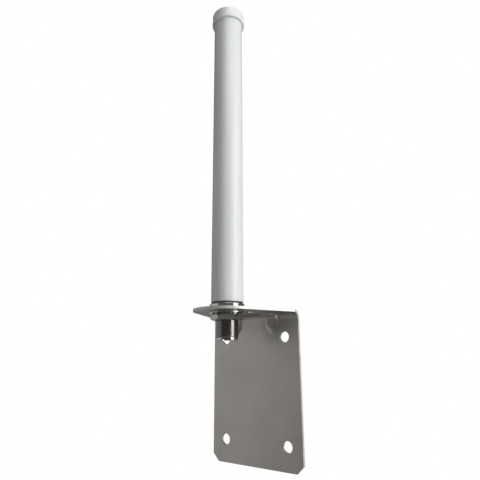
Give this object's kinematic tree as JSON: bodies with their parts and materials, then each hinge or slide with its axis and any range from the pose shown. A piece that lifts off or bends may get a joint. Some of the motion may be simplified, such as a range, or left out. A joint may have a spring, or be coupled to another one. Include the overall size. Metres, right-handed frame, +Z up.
{
  "type": "omnidirectional antenna",
  "caption": "White tube antenna standing on a bent steel wall bracket, clamped by a nut, toothed washer and flat washer on its threaded coaxial connector.",
  "frame": {"origin": "centre of the bracket plate's back face, which lies on the wall", "axes": "+Y into the wall, +Z up along the antenna, +X to the right when facing the wall"},
  "size_m": [0.074, 0.055, 0.341],
  "materials": {
    "stainless_sheet": "satin",
    "nickel_plate": "polished",
    "washer_steel": "satin",
    "spring_steel": "satin",
    "white_radome": "satin",
    "white_cap": "satin",
    "black_rubber": "matte",
    "ptfe": "satin",
    "gold_plate": "polished",
    "brass": "satin",
    "copper": "satin",
    "foam": "matte"
  },
  "bodies": {
    "bracket": {"wall_bracket": "stainless_sheet"},
    "antenna": {"connector_body": "nickel_plate", "front_insulator": "ptfe", "centre_contact": "gold_plate", "rear_insulator": "ptfe", "retaining_ring": "nickel_plate", "spigot_o_ring": "black_rubber", "seal_ring": "black_rubber", "radome_tube": "white_radome", "top_cap": "white_cap", "feed_coax": "copper", "ground_sleeve": "brass", "lower_radiator": "brass", "coil_former": "ptfe", "phasing_coil": "copper", "upper_radiator": "brass", "lower_foam_ring": "foam", "middle_foam_ring": "foam", "upper_foam_ring": "foam", "foam_plug": "foam"},
    "washers": {"flat_washer": "washer_steel", "star_washer": "spring_steel"},
    "nut": {"hex_nut": "nickel_plate"}
  },
  "joints": [
    {"name": "antenna_turn", "type": "hinge", "parent": "bracket", "child": "antenna", "pos_m": [0, -0.032, 0.051], "axis": [0, 0, 1], "continuous": true},
    {"name": "nut_travel", "type": "slide", "parent": "antenna", "child": "washers", "axis": [0, 0, -1], "range_m": [0, 0.01271]},
    {"name": "nut_turn", "type": "hinge", "parent": "washers", "child": "nut", "pos_m": [0, -0.032, 0.045], "axis": [0, 0, -1], "range_deg": [0, 4320]}
  ],
  "couplings": [
    {"joint": "nut_travel", "follows": "nut_turn", "m_per_rad": 0.00016844}
  ]
}
